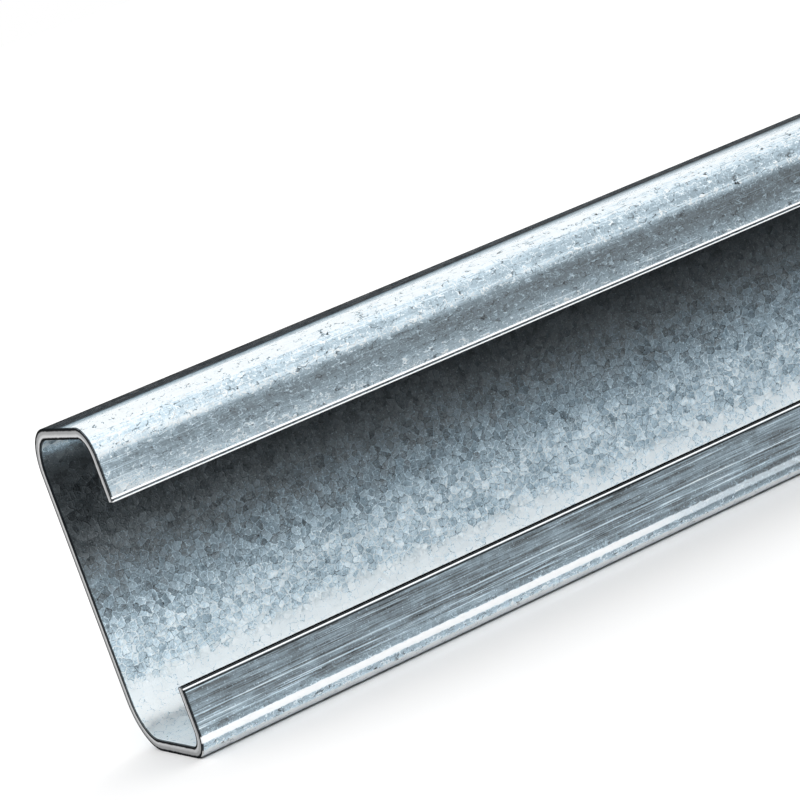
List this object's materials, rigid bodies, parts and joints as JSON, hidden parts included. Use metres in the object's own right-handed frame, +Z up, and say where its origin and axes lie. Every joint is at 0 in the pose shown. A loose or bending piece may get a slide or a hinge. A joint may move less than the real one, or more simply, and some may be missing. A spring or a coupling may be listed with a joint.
{
  "type": "c-channel",
  "caption": "Lipped C-channel in galvanised steel: an upright web, a flange at each edge and in-turned lips that leave a slot open along its whole length.",
  "frame": {"origin": "floor level, under the middle of the section's outline, halfway along the length", "axes": "+X along the length; +Y from the open side towards the web, so the slot faces -Y; +Z up the web, from the lower flange to the upper one"},
  "size_m": [1, 0.045, 0.09],
  "materials": {
    "galvanised_steel": "hot-dip galvanised, with a small even spangle, fine roll-forming streaks along the length and a few light scratches; the sheared ends are plain grey"
  },
  "bodies": {
    "root": {"c_channel": "galvanised_steel"}
  },
  "joints": []
}
